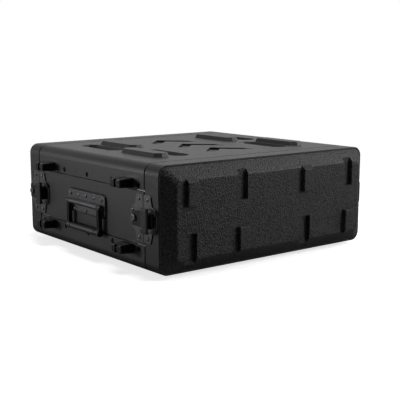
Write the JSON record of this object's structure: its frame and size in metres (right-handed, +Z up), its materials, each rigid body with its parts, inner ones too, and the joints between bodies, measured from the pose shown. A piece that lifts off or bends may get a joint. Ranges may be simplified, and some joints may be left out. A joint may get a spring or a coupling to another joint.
{
  "type": "equipment rack case",
  "caption": "Moulded 19-inch rack case: body of two half shells, lift-off front and rear covers, butterfly latches, side drop handles, stacking pads and inner rack rails.",
  "frame": {"origin": "centre of the footprint at floor level, under the four feet", "axes": "-Y towards the front cover, +Y towards the rear cover, X across the case through both handles, +Z up"},
  "size_m": [0.606, 0.562, 0.224],
  "materials": {
    "moulded_shell": "matt black moulded polyethylene, fine grain",
    "moulded_cover": "black moulded polyethylene, coarse pebble grain on the crowned face",
    "panel_sheet": "satin black laminated sheet",
    "frame_aluminium": "satin extruded aluminium",
    "gasket_rubber": "black foam rubber cord",
    "foam": "charcoal open-cell foam sheet",
    "rail_steel": "black powder coat",
    "bolt_steel": "dark zinc-plated steel",
    "bumper_plastic": "semi-gloss black injection moulding",
    "rivet_black": "black-finished steel rivet",
    "grip_plastic": "black moulded soft plastic",
    "black_hardware": "black electro-coated steel"
  },
  "bodies": {
    "case": {"body_latch_rivets": "rivet_black", "bumper_screws": "bolt_steel", "front_end_frame": "frame_aluminium", "front_gasket": "gasket_rubber", "front_left_latch_keeper": "black_hardware", "front_rail_left": "rail_steel", "front_rail_right": "rail_steel", "front_right_latch_keeper": "black_hardware", "handle_rivets": "rivet_black", "left_handle_axle": "bolt_steel", "left_handle_plate": "black_hardware", "left_handle_seal": "gasket_rubber", "lower_shell": "moulded_shell", "rail_bolts": "bolt_steel", "rail_support_lower_left": "rail_steel", "rail_support_lower_right": "rail_steel", "rail_support_upper_left": "rail_steel", "rail_support_upper_right": "rail_steel", "rear_end_frame": "frame_aluminium", "rear_gasket": "gasket_rubber", "rear_left_latch_base": "black_hardware", "rear_rail_left": "rail_steel", "rear_rail_right": "rail_steel", "rear_right_latch_base": "black_hardware", "right_handle_axle": "bolt_steel", "right_handle_plate": "black_hardware", "right_handle_seal": "gasket_rubber", "shell_rivets": "rivet_black", "side_bumpers_left": "bumper_plastic", "side_bumpers_right": "bumper_plastic", "side_panel_left": "panel_sheet", "side_panel_right": "panel_sheet", "upper_shell": "moulded_shell"},
    "front_cover": {"front_cover": "moulded_cover", "front_cover_foam": "foam", "front_cover_rivets": "rivet_black", "front_left_latch_base": "black_hardware", "front_right_latch_base": "black_hardware"},
    "front_left_hook": {"front_left_latch_hook": "black_hardware"},
    "front_left_rotor": {"front_left_latch_rotor": "black_hardware"},
    "front_left_wing": {"front_left_latch_wing": "black_hardware"},
    "front_right_hook": {"front_right_latch_hook": "black_hardware"},
    "front_right_rotor": {"front_right_latch_rotor": "black_hardware"},
    "front_right_wing": {"front_right_latch_wing": "black_hardware"},
    "left_handle": {"left_handle_bail": "black_hardware", "left_handle_grip": "grip_plastic"},
    "rear_cover": {"rear_cover": "moulded_cover", "rear_cover_foam": "foam", "rear_cover_rivets": "rivet_black", "rear_left_latch_keeper": "black_hardware", "rear_right_latch_keeper": "black_hardware"},
    "rear_left_hook": {"rear_left_latch_hook": "black_hardware"},
    "rear_left_rotor": {"rear_left_latch_rotor": "black_hardware"},
    "rear_left_wing": {"rear_left_latch_wing": "black_hardware"},
    "rear_right_hook": {"rear_right_latch_hook": "black_hardware"},
    "rear_right_rotor": {"rear_right_latch_rotor": "black_hardware"},
    "rear_right_wing": {"rear_right_latch_wing": "black_hardware"},
    "right_handle": {"right_handle_bail": "black_hardware", "right_handle_grip": "grip_plastic"}
  },
  "joints": [
    {"name": "front_cover_lift_off", "type": "slide", "parent": "case", "child": "front_cover", "axis": [0, -1, 0], "range_m": [0, 0.15]},
    {"name": "rear_cover_lift_off", "type": "slide", "parent": "case", "child": "rear_cover", "axis": [0, 1, 0], "range_m": [0, 0.15]},
    {"name": "front_left_latch_turn", "type": "hinge", "parent": "front_cover", "child": "front_left_rotor", "pos_m": [-0.273, -0.228, 0.112], "axis": [-1, 0, 0], "range_deg": [0, 180]},
    {"name": "front_left_hook_draw", "type": "slide", "parent": "front_cover", "child": "front_left_hook", "axis": [0, 1, 0], "range_m": [0, 0.006]},
    {"name": "front_left_wing_fold", "type": "hinge", "parent": "front_left_rotor", "child": "front_left_wing", "pos_m": [-0.286, -0.236, 0.112], "axis": [0, 0, 1], "range_deg": [0, 90]},
    {"name": "front_right_latch_turn", "type": "hinge", "parent": "front_cover", "child": "front_right_rotor", "pos_m": [0.273, -0.228, 0.112], "axis": [1, 0, 0], "range_deg": [0, 180]},
    {"name": "front_right_hook_draw", "type": "slide", "parent": "front_cover", "child": "front_right_hook", "axis": [0, 1, 0], "range_m": [0, 0.006]},
    {"name": "front_right_wing_fold", "type": "hinge", "parent": "front_right_rotor", "child": "front_right_wing", "pos_m": [0.286, -0.236, 0.112], "axis": [0, 0, -1], "range_deg": [0, 90]},
    {"name": "rear_left_latch_turn", "type": "hinge", "parent": "case", "child": "rear_left_rotor", "pos_m": [-0.273, 0.186, 0.112], "axis": [-1, 0, 0], "range_deg": [0, 180]},
    {"name": "rear_left_hook_draw", "type": "slide", "parent": "case", "child": "rear_left_hook", "axis": [0, 1, 0], "range_m": [0, 0.006]},
    {"name": "rear_left_wing_fold", "type": "hinge", "parent": "rear_left_rotor", "child": "rear_left_wing", "pos_m": [-0.286, 0.178, 0.112], "axis": [0, 0, 1], "range_deg": [0, 90]},
    {"name": "rear_right_latch_turn", "type": "hinge", "parent": "case", "child": "rear_right_rotor", "pos_m": [0.273, 0.186, 0.112], "axis": [1, 0, 0], "range_deg": [0, 180]},
    {"name": "rear_right_hook_draw", "type": "slide", "parent": "case", "child": "rear_right_hook", "axis": [0, 1, 0], "range_m": [0, 0.006]},
    {"name": "rear_right_wing_fold", "type": "hinge", "parent": "rear_right_rotor", "child": "rear_right_wing", "pos_m": [0.286, 0.178, 0.112], "axis": [0, 0, -1], "range_deg": [0, 90]},
    {"name": "left_handle_swing", "type": "hinge", "parent": "case", "child": "left_handle", "pos_m": [-0.2823, 0, 0.113], "axis": [0, 1, 0], "range_deg": [0, 90]},
    {"name": "right_handle_swing", "type": "hinge", "parent": "case", "child": "right_handle", "pos_m": [0.2823, 0, 0.113], "axis": [0, -1, 0], "range_deg": [0, 90]}
  ],
  "couplings": [
    {"joint": "front_left_hook_draw", "follows": "front_left_latch_turn", "m_per_rad": 0.0019097},
    {"joint": "front_right_hook_draw", "follows": "front_right_latch_turn", "m_per_rad": 0.0019097},
    {"joint": "rear_left_hook_draw", "follows": "rear_left_latch_turn", "m_per_rad": 0.0019097},
    {"joint": "rear_right_hook_draw", "follows": "rear_right_latch_turn", "m_per_rad": 0.0019097}
  ]
}
